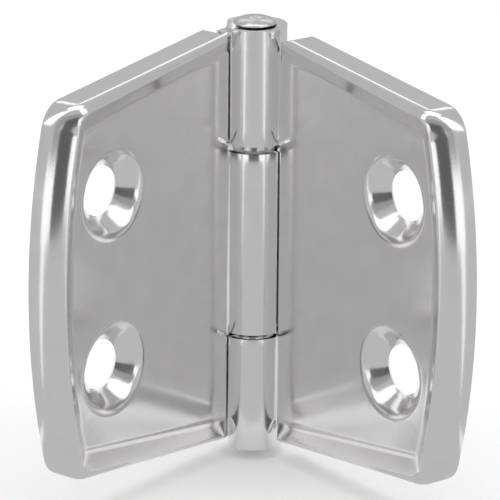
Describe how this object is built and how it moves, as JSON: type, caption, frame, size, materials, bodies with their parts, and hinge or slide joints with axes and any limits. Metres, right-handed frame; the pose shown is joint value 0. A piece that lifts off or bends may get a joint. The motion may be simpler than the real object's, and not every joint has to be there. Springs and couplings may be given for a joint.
{
  "type": "cranked hinge",
  "caption": "Butt hinge of pressed stainless steel with tray shaped leaves, cranked behind rolled knuckles, and dimpled seats for countersunk screws.",
  "frame": {"origin": "middle of the pin, on the hinge line", "axes": "+Z along the pin, the open side of the hinge faces -Y, the leaf with two knuckles is at -X"},
  "size_m": [0.039, 0.0248, 0.0416],
  "materials": {
    "left_leaf": "tumbled satin stainless sheet",
    "right_leaf": "tumbled satin stainless sheet",
    "pin": "polished stainless rod with peened heads"
  },
  "bodies": {
    "left_side": {"left_leaf": "left_leaf", "pin": "pin"},
    "right_side": {"right_leaf": "right_leaf"}
  },
  "joints": [
    {"name": "hinge", "type": "hinge", "parent": "left_side", "child": "right_side", "pos_m": [0, 0, 0], "axis": [0, 0, 1], "range_deg": [-72, 180]}
  ]
}
